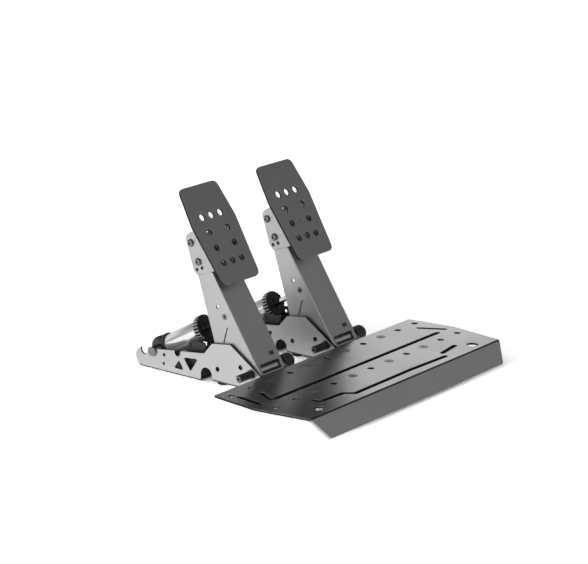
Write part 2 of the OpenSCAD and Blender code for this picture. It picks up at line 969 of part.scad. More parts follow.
module face_plate(side) {
    color(plate_grey)
        at_arm(side)
            translate([0, -bracket_front, 0])
                difference() {
                    rotate([90, 0, 0])
                        linear_extrude(face_t)
                            polygon(rounded(mirrored([
                                [face_half_end, face_high, face_corner],
                                [face_half, face_wide, 25],
                                [face_half_end, face_low, face_corner]
                            ])));
                    for (i = [-1 : 1], j = [0 : 3])
                        if (i != 0 || j == 0 || j == 3)
                            translate([i*face_col, 1, face_top_row - j*face_row])
                                rotate([90, 0, 0])
                                    cylinder(d = face_hole_d, h = face_t + 2);
                    for (w = face_screw_w)
                        translate([0, -face_t, w])
                            rotate([90, 0, 0])
                                countersink(face_screw_d + 0.2, face_head_d + 0.2);
                }
}

module face_screws(side) {
    color(black)
        at_arm(side)
            for (w = face_screw_w)
                translate([0, -face_front, w])
                    rotate([90, 0, 0])
                        flush_screw(face_screw_d, face_head_d, face_t + arm_t + face_nut_h + 1);
}

module face_nuts(side) {
    color(metal)
        at_arm(side)
            for (w = face_screw_w)
                translate([0, face_nut_h - bracket_back, w])
                    rotate([90, 0, 0])
                        hex_nut(8, face_screw_d + 0.2, face_nut_h);
}

// Rod pin in the arm

module rod_pin(side) {
    color(metal)
        at_arm(side)
            translate([0, rod_pin_back, rod_pin_up])
                difference() {
                    bar_x(rod_pin_d, -arm_half, arm_half);
                    both_sides()
                        translate([arm_half - 3, 0, 0])
                            rotate([0, 90, 0])
                                cylinder(d = rod_pin_d*0.5, h = 4, $fn = 6);
                }
}

eye_w = 10;

module rod_pin_spacers(side) {
    color(metal)
        at_arm(side)
            translate([0, rod_pin_back, rod_pin_up])
                both_sides()
                    difference() {
                        bar_x(rod_pin_d + 4, eye_w/2 + 0.3, arm_in);
                        bar_x(rod_pin_d + 0.1, 0, arm_half);
                    }
}

// Cylinder

module rear_pin(side) {
    reach = frame_half + rear_pin_out;
    color(black)
        at_pedal(side)
            translate([0, rear_pin_y, rear_pin_z])
                bar_x(rear_pin_d, -reach, reach);
}

// Domed end cap with the pin's bore across it
module cylinder_end(side) {
    ring_r = tube_d/2 + ring_wall;
    color(black)
        at_cylinder(side)
            difference() {
                union() {
                    hull() {
                        difference() {
                            bar_x(2*lug_r, -lug_half, lug_half);
                            translate([-lug_r, -lug_r - 1, 0])
                                cube(2*lug_r + 2);
                        }
                        translate([0, 0, tube_start - ring_len])
                            cylinder(r = ring_r - 0.8, h = 1);
                    }
                    rotate_extrude()
                        polygon([
                            [0, tube_start - ring_len],
                            [ring_r - 0.6, tube_start - ring_len],
                            [ring_r, tube_start - ring_len + 0.6],
                            [ring_r, tube_start], [0, tube_start]
                        ]);
                    cylinder(d = tube_in - 0.1, h = tube_start + spigot_len);
                }
                bar_x(rear_pin_d + 2*run_gap, -30, 30);
            }
}

module cylinder_tube(side, knob_front) {
    color("#e4e5e7")
        at_cylinder(side)
            translate([0, 0, tube_start])
                difference() {
                    cylinder(d = tube_d, h = knob_front - knob_wall - tube_start - 0.3);
                    translate([0, 0, -1])
                        cylinder(d = tube_in, h = knob_front);
                }
}

// Bush that guides the rod in the tube's front end
module cylinder_gland(side, knob_front) {
    color(black)
        at_cylinder(side)
            translate([0, 0, knob_front - knob_wall - gland_in - gland_len])
                difference() {
                    cylinder(d = tube_in - 0.1, h = gland_len);
                    translate([0, 0, -1])
                        cylinder(d = rod_d + 2*run_gap, h = gland_len + 2);
                }
}

// Round ribs: the radius swings between the knob's and the grooves'
module ribbed_outline() {
    steps = 6*rib_count;
    polygon([for (i = [0 : steps - 1])
        let (a = 360*i/steps, dip = (1 - cos(rib_count*a))/2)
        (knob_d/2 - rib_deep*dip*dip)*[cos(a), sin(a)]]);
}

// Preload knob: a ribbed cap that turns on the tube
module preload_knob(side, knob_front) {
    color(black)
        at_cylinder(side)
            translate([0, 0, knob_front - knob_len])
                difference() {
                    linear_extrude(knob_len)
                        ribbed_outline();
                    translate([0, 0, -1])
                        cylinder(d = tube_d + 2*run_gap, h = knob_len - knob_wall + 1);
                    cylinder(d = rod_d + 1.4, h = knob_len + 1);
                    // Dished front face
                    translate([0, 0, knob_len - 0.8])
                        difference() {
                            cylinder(r = knob_d/2 - 3.5, h = 2);
                            translate([0, 0, -1])
                                cylinder(r = rod_d/2 + 3.5, h = 4);
                        }
                }
}

// Push rod with its piston
module push_rod(side, knob_front) {
    from = piston_rear(knob_front);
    color("#d8d9db")
        at_cylinder(side)
            translate([0, 0, from]) {
                cylinder(d = rod_d, h = cyl_len - rod_short - from);
                cylinder(d = tube_in - 0.8, h = piston_len);
            }
}

// The rod ends this far before its pin, inside the eye's shank
rod_short = 13;
eye_wall = 3.4;

module rod_eye(side, play) {
    shank = 13;
    eye_r = rod_pin_d/2 + play + eye_wall;
    color(black)
        at_cylinder(side)
            difference() {
                union() {
                    translate([0, 0, cyl_len])
                        bar_x(2*eye_r, -eye_w/2, eye_w/2);
                    translate([0, 0, cyl_len - eye_r - shank])
                        cylinder(d = rod_d + 4, h = shank);
                    // The shank narrows between the spacers
                    translate([0, 0, cyl_len - eye_r])
                        cylinder(d1 = rod_d + 4, d2 = eye_w - 2, h = 3);
                }
                translate([0, 0, cyl_len])
                    bar_x(rod_pin_d + 2*play, -eye_w, eye_w);
                translate([0, 0, cyl_len - eye_r - shank - 1])
                    cylinder(d = rod_d + 0.1, h = shank + eye_r + 1 - rod_short);
            }
}

// The pads fill what the brake's travel leaves in front of the piston
pad_room = piston_rear(brake_knob_front) - stroke(brake_travel) - 0.4 - stack_start;
pad_len = pad_room/pad_count - pad_washer;

module elastomers(side) {
    color("#7a2f2a")
        at_cylinder(side)
            for (i = [0 : pad_count - 1])
                translate([0, 0, stack_start + i*(pad_len + pad_washer)])
                    rotate_extrude()
                        polygon([
                            [3, 0], [tube_in/2 - 1.6, 0], [tube_in/2 - 0.6, pad_len*0.3],
                            [tube_in/2 - 0.6, pad_len*0.7], [tube_in/2 - 1.6, pad_len],
                            [3, pad_len]
                        ]);
}

module stack_washers(side) {
    color(metal)
        at_cylinder(side)
            for (i = [1 : pad_count])
                translate([0, 0, stack_start + i*(pad_len + pad_washer) - pad_washer])
                    difference() {
                        cylinder(d = tube_in - 0.6, h = pad_washer);
                        translate([0, 0, -1])
                            cylinder(d = 6, h = pad_washer + 2);
                    }
}

// Return spring: one swept tube along a helix, six sides to the wire
spring_r = tube_in/2 - wire_d/2 - 1.4;
spring_from = stack_start + wire_d/2;
spring_to = piston_rear(throttle_knob_front) - 0.2 - wire_d/2;
spring_solid = spring_to - spring_from - stroke(throttle_travel);
spring_turns = floor(spring_solid/wire_d - 0.5);
spring_steps = 16;
spring_rings = spring_turns*spring_steps;
spring_pitch = (spring_to - spring_from)/spring_turns;
function spring_at(i) =
    let (a = 360*i/spring_steps)
    [spring_r*cos(a), spring_r*sin(a), spring_from + spring_pitch*i/spring_steps];
function spring_ring(i) =
    let (a = 360*i/spring_steps, out = [cos(a), sin(a), 0])
    [for (k = [0 : 5])
        spring_at(i) + wire_d/2*(cos(60*k)*out + sin(60*k)*[0, 0, 1])];
echo(spring_gap = spring_pitch - wire_d);

module return_spring(side) {
    n = spring_rings;
    color("#9a9b9e")
        at_cylinder(side)
            polyhedron(
                points = [for (i = [0 : n]) each spring_ring(i)],
                faces = concat(
                    [[for (k = [0 : 5]) k]],
                    [for (i = [0 : n - 1], k = [0 : 5])
                        each [[6*i + k, 6*i + 6 + k, 6*i + 6 + (k + 1) % 6],
                              [6*i + k, 6*i + 6 + (k + 1) % 6, 6*i + (k + 1) % 6]]],
                    [[for (k = [5 : -1 : 0]) 6*n + k]]
                )
            );
}

// The two pedals' pieces under their own names
module brake_base_frame() { base_frame(-1); }
module brake_feet() { feet(-1); }
module brake_controller_box() { controller_box(-1); }
module brake_box_screws() { box_screws(-1); }
module brake_pivot_axle() { pivot_axle(-1); }
module brake_axle_sleeve() { axle_sleeve(-1); }
module brake_axle_washers() { axle_washers(-1); }
module brake_pivot_bushes() { pivot_bushes(-1); }
module brake_pivot_tube() { pivot_tube(-1); }
module brake_sensor_housing() { sensor_housing(-1); }
module brake_pedal_arm() { pedal_arm(-1); }
module brake_face_bracket() { face_bracket(-1); }
module brake_bracket_bolts() { bracket_bolts(-1); }
module brake_bracket_nuts() { bracket_nuts(-1); }
module brake_face_plate() { face_plate(-1); }
module brake_face_screws() { face_screws(-1); }
module brake_face_nuts() { face_nuts(-1); }
module brake_rod_pin() { rod_pin(-1); }
module brake_rod_pin_spacers() { rod_pin_spacers(-1); }
module brake_rear_pin() { rear_pin(-1); }
module brake_cylinder_end() { cylinder_end(-1); }
module brake_cylinder_tube() { cylinder_tube(-1, brake_knob_front); }
module brake_cylinder_gland() { cylinder_gland(-1, brake_knob_front); }
module brake_preload_knob() { preload_knob(-1, brake_knob_front); }
module brake_push_rod() { push_rod(-1, brake_knob_front); }
module brake_rod_eye() { rod_eye(-1, brake_eye_play); }
module brake_elastomers() { elastomers(-1); }
module brake_stack_washers() { stack_washers(-1); }
module throttle_base_frame() { base_frame(1); }
module throttle_feet() { feet(1); }
module throttle_controller_box() { controller_box(1); }
module throttle_box_screws() { box_screws(1); }
module throttle_pivot_axle() { pivot_axle(1); }
module throttle_axle_sleeve() { axle_sleeve(1); }
module throttle_axle_washers() { axle_washers(1); }
module throttle_pivot_bushes() { pivot_bushes(1); }
module throttle_pivot_tube() { pivot_tube(1); }
module throttle_sensor_housing() { sensor_housing(1); }
module throttle_pedal_arm() { pedal_arm(1); }
module throttle_face_bracket() { face_bracket(1); }
module throttle_bracket_bolts() { bracket_bolts(1); }
module throttle_bracket_nuts() { bracket_nuts(1); }
module throttle_face_plate() { face_plate(1); }
module throttle_face_screws() { face_screws(1); }
module throttle_face_nuts() { face_nuts(1); }
module throttle_rod_pin() { rod_pin(1); }
module throttle_rod_pin_spacers() { rod_pin_spacers(1); }
module throttle_rear_pin() { rear_pin(1); }
module throttle_cylinder_end() { cylinder_end(1); }
module throttle_cylinder_tube() { cylinder_tube(1, throttle_knob_front); }
module throttle_cylinder_gland() { cylinder_gland(1, throttle_knob_front); }
module throttle_preload_knob() { preload_knob(1, throttle_knob_front); }
module throttle_push_rod() { push_rod(1, throttle_knob_front); }
module throttle_rod_eye() { rod_eye(1, throttle_eye_play); }
module throttle_return_spring() { return_spring(1); }

heel_plate();
heel_plate_screws();
heel_plate_nuts();
brake_base_frame();
brake_feet();
brake_controller_box();
brake_box_screws();
brake_pivot_axle();
brake_axle_sleeve();
brake_axle_washers();
brake_pivot_bushes();
brake_pivot_tube();
brake_sensor_housing();
brake_pedal_arm();
brake_face_bracket();
brake_bracket_bolts();
brake_bracket_nuts();
brake_face_plate();
brake_face_screws();
brake_face_nuts();
brake_rod_pin();
brake_rod_pin_spacers();
brake_rear_pin();
brake_cylinder_end();
brake_cylinder_tube();
brake_cylinder_gland();
brake_preload_knob();
brake_push_rod();
brake_rod_eye();
brake_elastomers();
brake_stack_washers();
throttle_base_frame();
throttle_feet();
throttle_controller_box();
throttle_box_screws();
throttle_pivot_axle();
throttle_axle_sleeve();
throttle_axle_washers();
throttle_pivot_bushes();
throttle_pivot_tube();
throttle_sensor_housing();
throttle_pedal_arm();
throttle_face_bracket();
throttle_bracket_bolts();
throttle_bracket_nuts();
throttle_face_plate();
throttle_face_screws();
throttle_face_nuts();
throttle_rod_pin();
throttle_rod_pin_spacers();
throttle_rear_pin();
throttle_cylinder_end();
throttle_cylinder_tube();
throttle_cylinder_gland();
throttle_preload_knob();
throttle_push_rod();
throttle_rod_eye();
throttle_return_spring();
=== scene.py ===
import json
import math

import bmesh
import bpy
import numpy as np
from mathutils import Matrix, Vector


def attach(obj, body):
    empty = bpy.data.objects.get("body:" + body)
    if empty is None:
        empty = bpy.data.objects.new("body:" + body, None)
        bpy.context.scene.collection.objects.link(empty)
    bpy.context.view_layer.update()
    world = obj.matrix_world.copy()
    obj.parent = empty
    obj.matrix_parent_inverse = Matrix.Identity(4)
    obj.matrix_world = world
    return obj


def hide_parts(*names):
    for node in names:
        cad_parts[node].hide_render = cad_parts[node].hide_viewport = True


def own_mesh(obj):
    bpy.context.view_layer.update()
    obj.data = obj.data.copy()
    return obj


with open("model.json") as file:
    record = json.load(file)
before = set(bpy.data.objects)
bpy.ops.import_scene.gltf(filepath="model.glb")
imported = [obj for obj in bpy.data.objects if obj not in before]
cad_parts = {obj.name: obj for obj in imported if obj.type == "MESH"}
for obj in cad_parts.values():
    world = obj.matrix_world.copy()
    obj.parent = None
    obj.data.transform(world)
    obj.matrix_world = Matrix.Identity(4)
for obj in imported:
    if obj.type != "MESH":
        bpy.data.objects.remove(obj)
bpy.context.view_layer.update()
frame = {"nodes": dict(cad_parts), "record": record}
nodes = frame["nodes"]
record = frame["record"]
slotOf = {s["node"]: s["material_slot"] for s in record["subparts"]}
bodyOf = {n: b for b, names in record["behaviour"]["bodies"].items() for n in names}
print("frame loaded:", len(nodes), "nodes")

# Both pedals, with their places in the CAD in metres
pedals = {
    "brake": {"x": -0.080, "knobFront": 0.082},
    "throttle": {"x": 0.080, "knobFront": 0.070},
}
linkage = {
    "pivotY": -0.0038454,
    "pivotZ": 0.028,
    "armTilt": math.radians(33),
    "rearPinY": 0.1676546,
    "rearPinZ": 0.026,
    "cylinderRise": math.radians(29.800317),
    "rodPinDistance": 0.1420427,
}
acrossSet, alongSet = (1, 0, 0), (0, 1, 0)


# Camera, at the photograph's angle

photoCamera = {
    "place": (-2.43875, -1.907655, 1.01594),
    "azimuth": math.radians(-51.796),
    "elevation": math.radians(15.998),
    "lens": 148.10,
    "sensor": 36.0,
    "clip": (0.05, 60),
}


def placeCamera(s):
    # The view direction follows from the two angles: azimuth 0 looks along +Y
    a, e = s["azimuth"], s["elevation"]
    back = Vector((math.sin(a) * math.cos(e), -math.cos(a) * math.cos(e), math.sin(e)))
    data = bpy.data.cameras.new("photoCamera")
    data.lens = s["lens"]
    data.sensor_width = s["sensor"]
    data.clip_start, data.clip_end = s["clip"]
    camera = bpy.data.objects.new("photoCamera", data)
    camera.location = s["place"]
    camera.rotation_mode = "QUATERNION"
    camera.rotation_quaternion = (-back).to_track_quat("-Z", "Y")
    bpy.context.scene.collection.objects.link(camera)
    bpy.context.scene.camera = camera


placeCamera(photoCamera)
print("camera placed")


# Shader helpers

def addNode(tree, kind, values=None, **settings):
    node = tree.nodes.new(kind)
    for key, value in settings.items():
        setattr(node, key, value)
    for key, value in (values or {}).items():
        node.inputs[key].default_value = value
    return node


def startGroup(name, inputs, outputs):
    # Every group reads a place, then its own numbers or vectors, and puts out numbers
    group = bpy.data.node_groups.new(name, "ShaderNodeTree")
    group.interface.new_socket(name="Vector", in_out="INPUT", socket_type="NodeSocketVector")
    for label, value in inputs.items():
        kind = "NodeSocketVector" if isinstance(value, tuple) else "NodeSocketFloat"
        group.interface.new_socket(name=label, in_out="INPUT", socket_type=kind).default_value = value
    for label in outputs:
        group.interface.new_socket(name=label, in_out="OUTPUT", socket_type="NodeSocketFloat")
    return group, group.nodes.new("NodeGroupInput"), group.nodes.new("NodeGroupOutput")


def rangeNode(tree, source, low, high, toLow=0.0, toHigh=1.0, **settings):
    values = {"From Min": low, "From Max": high, "To Min": toLow, "To Max": toHigh}
    node = addNode(tree, "ShaderNodeMapRange", values, **settings)
    tree.links.new(source, node.inputs["Value"])
    return node.outputs["Result"]


def mathNode(tree, operation, first, second):
    node = addNode(tree, "ShaderNodeMath", operation=operation)
    for i, value in enumerate((first, second)):
        if isinstance(value, (int, float)):
            node.inputs[i].default_value = value
        else:
            tree.links.new(value, node.inputs[i])
    return node.outputs[0]


def vectorNode(tree, operation, first, second):
    # The first is a socket; the second is a socket or a fixed vector
    node = addNode(tree, "ShaderNodeVectorMath", operation=operation)
    tree.links.new(first, node.inputs[0])
    if isinstance(second, bpy.types.NodeSocket):
        tree.links.new(second, node.inputs[1])
    elif second is not None:
        node.inputs[1].default_value = second
    return node.outputs["Value" if operation in ("DOT_PRODUCT", "LENGTH") else "Vector"]


def betweenNode(tree, value, low, high):
    above = mathNode(tree, "GREATER_THAN", value, low)
    return mathNode(tree, "MULTIPLY", above, mathNode(tree, "LESS_THAN", value, high))


def splitNode(tree, source):
    parts = addNode(tree, "ShaderNodeSeparateXYZ")
    tree.links.new(source, parts.inputs[0])
    return parts.outputs


def noiseNode(tree, place, scale, detail, roughness):
    node = addNode(tree, "ShaderNodeTexNoise", {"Detail": detail, "Roughness": roughness})
    tree.links.new(place, node.inputs["Vector"])
    tree.links.new(scale, node.inputs["Scale"])
    return node.outputs["Fac"]


def blastedGrain():
    # Fine grain of a blasted and coated sheet, over slow clouds of tone
    scales = {"Grain Scale": 2600.0, "Cloud Scale": 14.0}
    grainShare = 0.8
    group, start, end = startGroup("blastedGrain", scales, ["Cloud", "Height"])
    place = start.outputs["Vector"]
    grain = noiseNode(group, place, start.outputs["Grain Scale"], detail=3.0, roughness=0.6)
    cloud = noiseNode(group, place, start.outputs["Cloud Scale"], detail=4.0, roughness=0.55)
    height = mathNode(group, "MULTIPLY_ADD", grain, grainShare)
    group.links.new(cloud, height.node.inputs[2])
    group.links.new(cloud, end.inputs["Cloud"])
    group.links.new(height, end.inputs["Height"])
    return group


def turningLines():
    # Fine lines left by a brush or a lathe, drawn out across the chosen stretch
    group, start, end = startGroup("turningLines", {"Stretch": (1.0, 1.0, 1.0), "Scale": 900.0}, ["Lines"])
    drawn = vectorNode(group, "MULTIPLY", start.outputs["Vector"], start.outputs["Stretch"])
    noise = noiseNode(group, drawn, start.outputs["Scale"], detail=4.0, roughness=0.7)
    group.links.new(noise, end.inputs["Lines"])
    return group


def rubbedEdges():
    # Where the rounded normal leaves the true one an edge is near; noise breaks the mask up
    group, start, end = startGroup("rubbedEdges", {"Breakup Scale": 220.0}, ["Mask"])
    rounded = addNode(group, "ShaderNodeBevel", {"Radius": 0.0009}, samples=4)
    true = addNode(group, "ShaderNodeNewGeometry")
    dot = vectorNode(group, "DOT_PRODUCT", rounded.outputs["Normal"], true.outputs["Normal"])
    edge = rangeNode(group, dot, low=0.995, high=0.80)
    noise = noiseNode(group, start.outputs["Vector"], start.outputs["Breakup Scale"], detail=5.0, roughness=0.65)
    broken = rangeNode(group, noise, low=0.35, high=0.6, toLow=0.15)
    group.links.new(mathNode(group, "MULTIPLY", edge, broken), end.inputs["Mask"])
    return group


def cutEdges():
    # Painted shade on the heel plate's edges, hole walls and pressed lines: everything from Low to High in
    # height, behind the fold, is darkened, and a thin painted dark line runs along the fold itself
    values = {"Low": 0.0284, "High": 0.0306, "Fold": -0.1790, "Line": 0.0006}
    group, start, end = startGroup("cutEdges", values, ["Mask"])
    parts = splitNode(group, start.outputs["Vector"])
    height, back = parts["Z"], parts["Y"]
    within = betweenNode(group, height, start.outputs["Low"], start.outputs["High"])
    behind = mathNode(group, "GREATER_THAN", back, start.outputs["Fold"])
    cut = mathNode(group, "MULTIPLY", within, behind)
    off = mathNode(group, "ABSOLUTE", mathNode(group, "SUBTRACT", back, start.outputs["Fold"]), 0.0)
    line = mathNode(group, "LESS_THAN", off, start.outputs["Line"])
    group.links.new(mathNode(group, "MAXIMUM", cut, line), end.inputs["Mask"])
    return group


def sheetSideShade():
    # Painted shade on the edges, hole walls and bottom bend of an upright sheet: the band between its two faces,
    # measured from its pedal's middle plane
    values = {"Inner": 0.0273, "Outer": 0.0297, "Pedal": pedals["throttle"]["x"]}
    group, start, end = startGroup("sheetSideShade", values, ["Mask"])
    across = mathNode(group, "ABSOLUTE", splitNode(group, start.outputs["Vector"])["X"], 0.0)
    across = mathNode(group, "ABSOLUTE", mathNode(group, "SUBTRACT", across, start.outputs["Pedal"]), 0.0)
    band = betweenNode(group, across, start.outputs["Inner"], start.outputs["Outer"])
    group.links.new(band, end.inputs["Mask"])
    return group


def plateSideShade():
    # Painted shade on the edges and hole walls of a plate that leans with the arms: the band between its two
    # faces, measured square to the arm, (place - pivot) . (0, cos tilt, -sin tilt)
    group, start, end = startGroup("plateSideShade", {"Front": -0.02985, "Back": -0.02705}, ["Mask"])
    tilt = linkage["armTilt"]
    local = vectorNode(group, "SUBTRACT", start.outputs["Vector"], (0, linkage["pivotY"], linkage["pivotZ"]))
    square = vectorNode(group, "DOT_PRODUCT", local, (0, math.cos(tilt), -math.sin(tilt)))
    band = betweenNode(group, square, start.outputs["Front"], start.outputs["Back"])
    group.links.new(band, end.inputs["Mask"])
    return group


def paintedRibHighlight():
    # A painted highlight on the tops of the knob's ribs: the mask grows with the distance from the cylinder's
    # axis, which is the length of (place - rear pin) crossed with the axis
    group, start, end = startGroup("paintedRibHighlight", {"Low": 0.0175, "High": 0.0182}, ["Mask"])
    parts = splitNode(group, start.outputs["Vector"])
    place = addNode(group, "ShaderNodeCombineXYZ")
    across = mathNode(group, "SUBTRACT", mathNode(group, "ABSOLUTE", parts["X"], 0.0), pedals["throttle"]["x"])
    group.links.new(across, place.inputs["X"])
    group.links.new(mathNode(group, "SUBTRACT", parts["Y"], linkage["rearPinY"]), place.inputs["Y"])
    group.links.new(mathNode(group, "SUBTRACT", parts["Z"], linkage["rearPinZ"]), place.inputs["Z"])
    rise = linkage["cylinderRise"]
    cross = vectorNode(group, "CROSS_PRODUCT", place.outputs[0], (0, -math.cos(rise), math.sin(rise)))
    top = addNode(group, "ShaderNodeMapRange")
    group.links.new(vectorNode(group, "LENGTH", cross, None), top.inputs["Value"])
    group.links.new(start.outputs["Low"], top.inputs["From Min"])
    group.links.new(start.outputs["High"], top.inputs["From Max"])
    group.links.new(top.outputs["Result"], end.inputs["Mask"])
    return group


def settledDust():
    # Dust lies where the surface looks up, in uneven patches
    group, start, end = startGroup("settledDust", {"Patch Scale": 30.0}, ["Mask"])
    surface = addNode(group, "ShaderNodeNewGeometry")
    up = rangeNode(group, splitNode(group, surface.outputs["Normal"])["Z"], low=0.3, high=1.0)
    noise = noiseNode(group, start.outputs["Vector"], start.outputs["Patch Scale"], detail=6.0, roughness=0.7)
    patch = rangeNode(group, noise, low=0.4, high=0.75)
    group.links.new(mathNode(group, "MULTIPLY", up, patch), end.inputs["Mask"])
    return group


grainGroup = blastedGrain()
linesGroup = turningLines()
edgesGroup = rubbedEdges()
dustGroup = settledDust()
# Masks for painted shade on sheet edges and recesses, and for a painted highlight on the knob's ribs
maskGroups = {
    "cutEdges": cutEdges(),
    "sheetSideShade": sheetSideShade(),
    "plateSideShade": plateSideShade(),
    "paintedRibHighlight": paintedRibHighlight(),
}

# Every finish: its colour, how far its tone and gloss wander, its grain, its rubbed edges and its dust.
# Lines draw the grain out by the stretch given. A mask gives painted light to a part of the finish: painted shade
# on sheet edges, hole walls and pressed lines, and a painted highlight on rib tops; sides are the inner and outer
# limits of the upright sheets' painted shade mask.
blastedSheet = {
    "color": (0.465, 0.467, 0.474), "metallic": 1.0, "rough": 0.40, "roughSpread": 0.06, "toneSpread": 0.05,
    "grain": 2600.0, "cloud": 11.0, "bump": 0.10, "bumpDepth": 0.00012,
    "worn": (0.70, 0.70, 0.71), "wornMix": 0.15, "dust": 0.02,
}
# painted shade on the edges and bottom bends of the frames and brackets
paintedSideShade = {"cut": (0.03, 0.03, 0.03), "mask": "sheetSideShade"}
finishes = {
    "boltSteel": {
        "color": (0.200, 0.200, 0.203), "metallic": 1.0, "rough": 0.26, "roughSpread": 0.05, "toneSpread": 0.10,
        "grain": 2600.0, "cloud": 60.0, "bump": 0.05, "bumpDepth": 0.00005,
        "worn": (0.45, 0.45, 0.45), "wornMix": 0.4, "dust": 0.0,
    },
    "faceScrew": {
        "color": (0.340, 0.340, 0.345), "metallic": 1.0, "rough": 0.40, "roughSpread": 0.06, "toneSpread": 0.10,
        "grain": 2600.0, "cloud": 60.0, "bump": 0.06, "bumpDepth": 0.00005,
        "worn": (0.60, 0.60, 0.60), "wornMix": 0.3, "dust": 0.0,
    },
    "heelSheet": {
        "color": (0.470, 0.471, 0.477), "metallic": 0.97, "rough": 0.23, "roughSpread": 0.04, "toneSpread": 0.06,
        "grain": 2400.0, "cloud": 9.0, "bump": 0.07, "bumpDepth": 0.00014,
        "worn": (0.72, 0.72, 0.73), "wornMix": 0.2, "dust": 0.03,
        # painted shade on the plate's edges, hole walls, pressed lines and fold
        "cut": (0.020, 0.020, 0.021), "mask": "cutEdges",
    },
    "plateScrew": {
        "color": (0.300, 0.300, 0.304), "metallic": 0.85, "rough": 0.32, "roughSpread": 0.06, "toneSpread": 0.08,
        "grain": 2600.0, "cloud": 60.0, "bump": 0.06, "bumpDepth": 0.00005,
        "worn": (0.50, 0.50, 0.50), "wornMix": 0.4, "dust": 0.0,
    },
    "faceSheet": {
        "color": (0.325, 0.325, 0.330), "metallic": 1.0, "rough": 0.42, "roughSpread": 0.06, "toneSpread": 0.05,
        "grain": 2800.0, "cloud": 16.0, "bump": 0.12, "bumpDepth": 0.00012,
        "worn": (0.60, 0.60, 0.61), "wornMix": 0.15, "dust": 0.02,
        # painted shade on the face plate's edges and hole walls
        "cut": (0.02, 0.02, 0.02), "mask": "plateSideShade",
    },
    "brightSteel": {
        "color": (0.62, 0.62, 0.63), "metallic": 1.0, "rough": 0.28, "roughSpread": 0.06, "toneSpread": 0.06,
        "grain": 1800.0, "cloud": 40.0, "bump": 0.05, "bumpDepth": 0.00005,
        "worn": (0.8, 0.8, 0.8), "wornMix": 0.3, "dust": 0.0,
        "lines": (1.0, 0.04, 0.04),
    },
    "polishedRod": {
        "color": (0.80, 0.80, 0.81), "metallic": 1.0, "rough": 0.09, "roughSpread": 0.03, "toneSpread": 0.03,
        "grain": 1500.0, "cloud": 60.0, "bump": 0.02, "bumpDepth": 0.00003,
        "worn": (0.85, 0.85, 0.85), "wornMix": 0.1, "dust": 0.0,
        "lines": (0.05, 1.0, 1.0),
    },
    "tubeSilver": {
        "color": (0.93, 0.93, 0.94), "metallic": 0.6, "rough": 0.22, "roughSpread": 0.02, "toneSpread": 0.02,
        "grain": 1500.0, "cloud": 26.0, "bump": 0.01, "bumpDepth": 0.00004,
        "worn": (0.9, 0.9, 0.9), "wornMix": 0.2, "dust": 0.0,
    },
    "blackMetal": {
        "color": (0.045, 0.045, 0.046), "metallic": 0.6, "rough": 0.31, "roughSpread": 0.07, "toneSpread": 0.2,
        "grain": 2200.0, "cloud": 30.0, "bump": 0.10, "bumpDepth": 0.00008,
        "worn": (0.20, 0.20, 0.20), "wornMix": 0.5, "dust": 0.03,
    },
    "blackScrew": {
        "color": (0.030, 0.030, 0.031), "metallic": 0.6, "rough": 0.32, "roughSpread": 0.06, "toneSpread": 0.2,
        "grain": 3000.0, "cloud": 60.0, "bump": 0.06, "bumpDepth": 0.00005,
        "worn": (0.30, 0.30, 0.30), "wornMix": 0.4, "dust": 0.0,
    },
    "knobPlastic": {
        "color": (0.030, 0.030, 0.031), "metallic": 0.8, "rough": 0.26, "roughSpread": 0.05, "toneSpread": 0.15,
        "grain": 2000.0, "cloud": 50.0, "bump": 0.15, "bumpDepth": 0.0001,
        "worn": (0.30, 0.30, 0.30), "wornMix": 0.3, "dust": 0.0,
        # painted highlight on the tops of the ribs
        "cut": (0.38, 0.38, 0.39), "mask": "paintedRibHighlight",
    },
    "blackPlastic": {
        "color": (0.024, 0.024, 0.025), "metallic": 0.0, "rough": 0.50, "roughSpread": 0.07, "toneSpread": 0.15,
        "grain": 1600.0, "cloud": 24.0, "bump": 0.22, "bumpDepth": 0.00012,
        "worn": (0.07, 0.07, 0.07), "wornMix": 0.4, "dust": 0.04,
    },
    "footRubber": {
        "color": (0.020, 0.020, 0.020), "metallic": 0.0, "rough": 0.72, "roughSpread": 0.08, "toneSpread": 0.2,
        "grain": 1300.0, "cloud": 40.0, "bump": 0.3, "bumpDepth": 0.00015,
        "worn": (0.06, 0.06, 0.06), "wornMix": 0.3, "dust": 0.08,
    },
    "padRubber": {
        "color": (0.300, 0.055, 0.040), "metallic": 0.0, "rough": 0.55, "roughSpread": 0.06, "toneSpread": 0.12,
        "grain": 1400.0, "cloud": 60.0, "bump": 0.15, "bumpDepth": 0.0001,
        "worn": (0.4, 0.1, 0.08), "wornMix": 0.3, "dust": 0.0,
    },
    "bushBronze": {
        "color": (0.45, 0.29, 0.13), "metallic": 1.0, "rough": 0.38, "roughSpread": 0.08, "toneSpread": 0.12,
        "grain": 2600.0, "cloud": 80.0, "bump": 0.12, "bumpDepth": 0.00006,
        "worn": (0.62, 0.42, 0.2), "wornMix": 0.4, "dust": 0.0,
    },
    "frameSheet": {**blastedSheet, **paintedSideShade, "sides": (0.0273, 0.0297)},
    "bracketSheet": {**blastedSheet, **paintedSideShade, "sides": (0.0263, 0.0287), "color": (0.400, 0.402, 0.409)},
    "armSheet": {**blastedSheet, "color": (0.415, 0.417, 0.424)},
}
dustColor = (0.42, 0.41, 0.39)


def mixColor(tree, factor, under, over):
    # Factor 0 shows the colour under, 1 the colour over; each is a socket or a fixed colour
    mix = addNode(tree, "ShaderNodeMix", data_type="RGBA")
    tree.links.new(factor, mix.inputs["Factor"])
    for label, color in (("A", under), ("B", over)):
        if isinstance(color, bpy.types.NodeSocket):
            tree.links.new(color, mix.inputs[label])
        else:
            mix.inputs[label].default_value = (*color, 1)
    return mix.outputs["Result"]


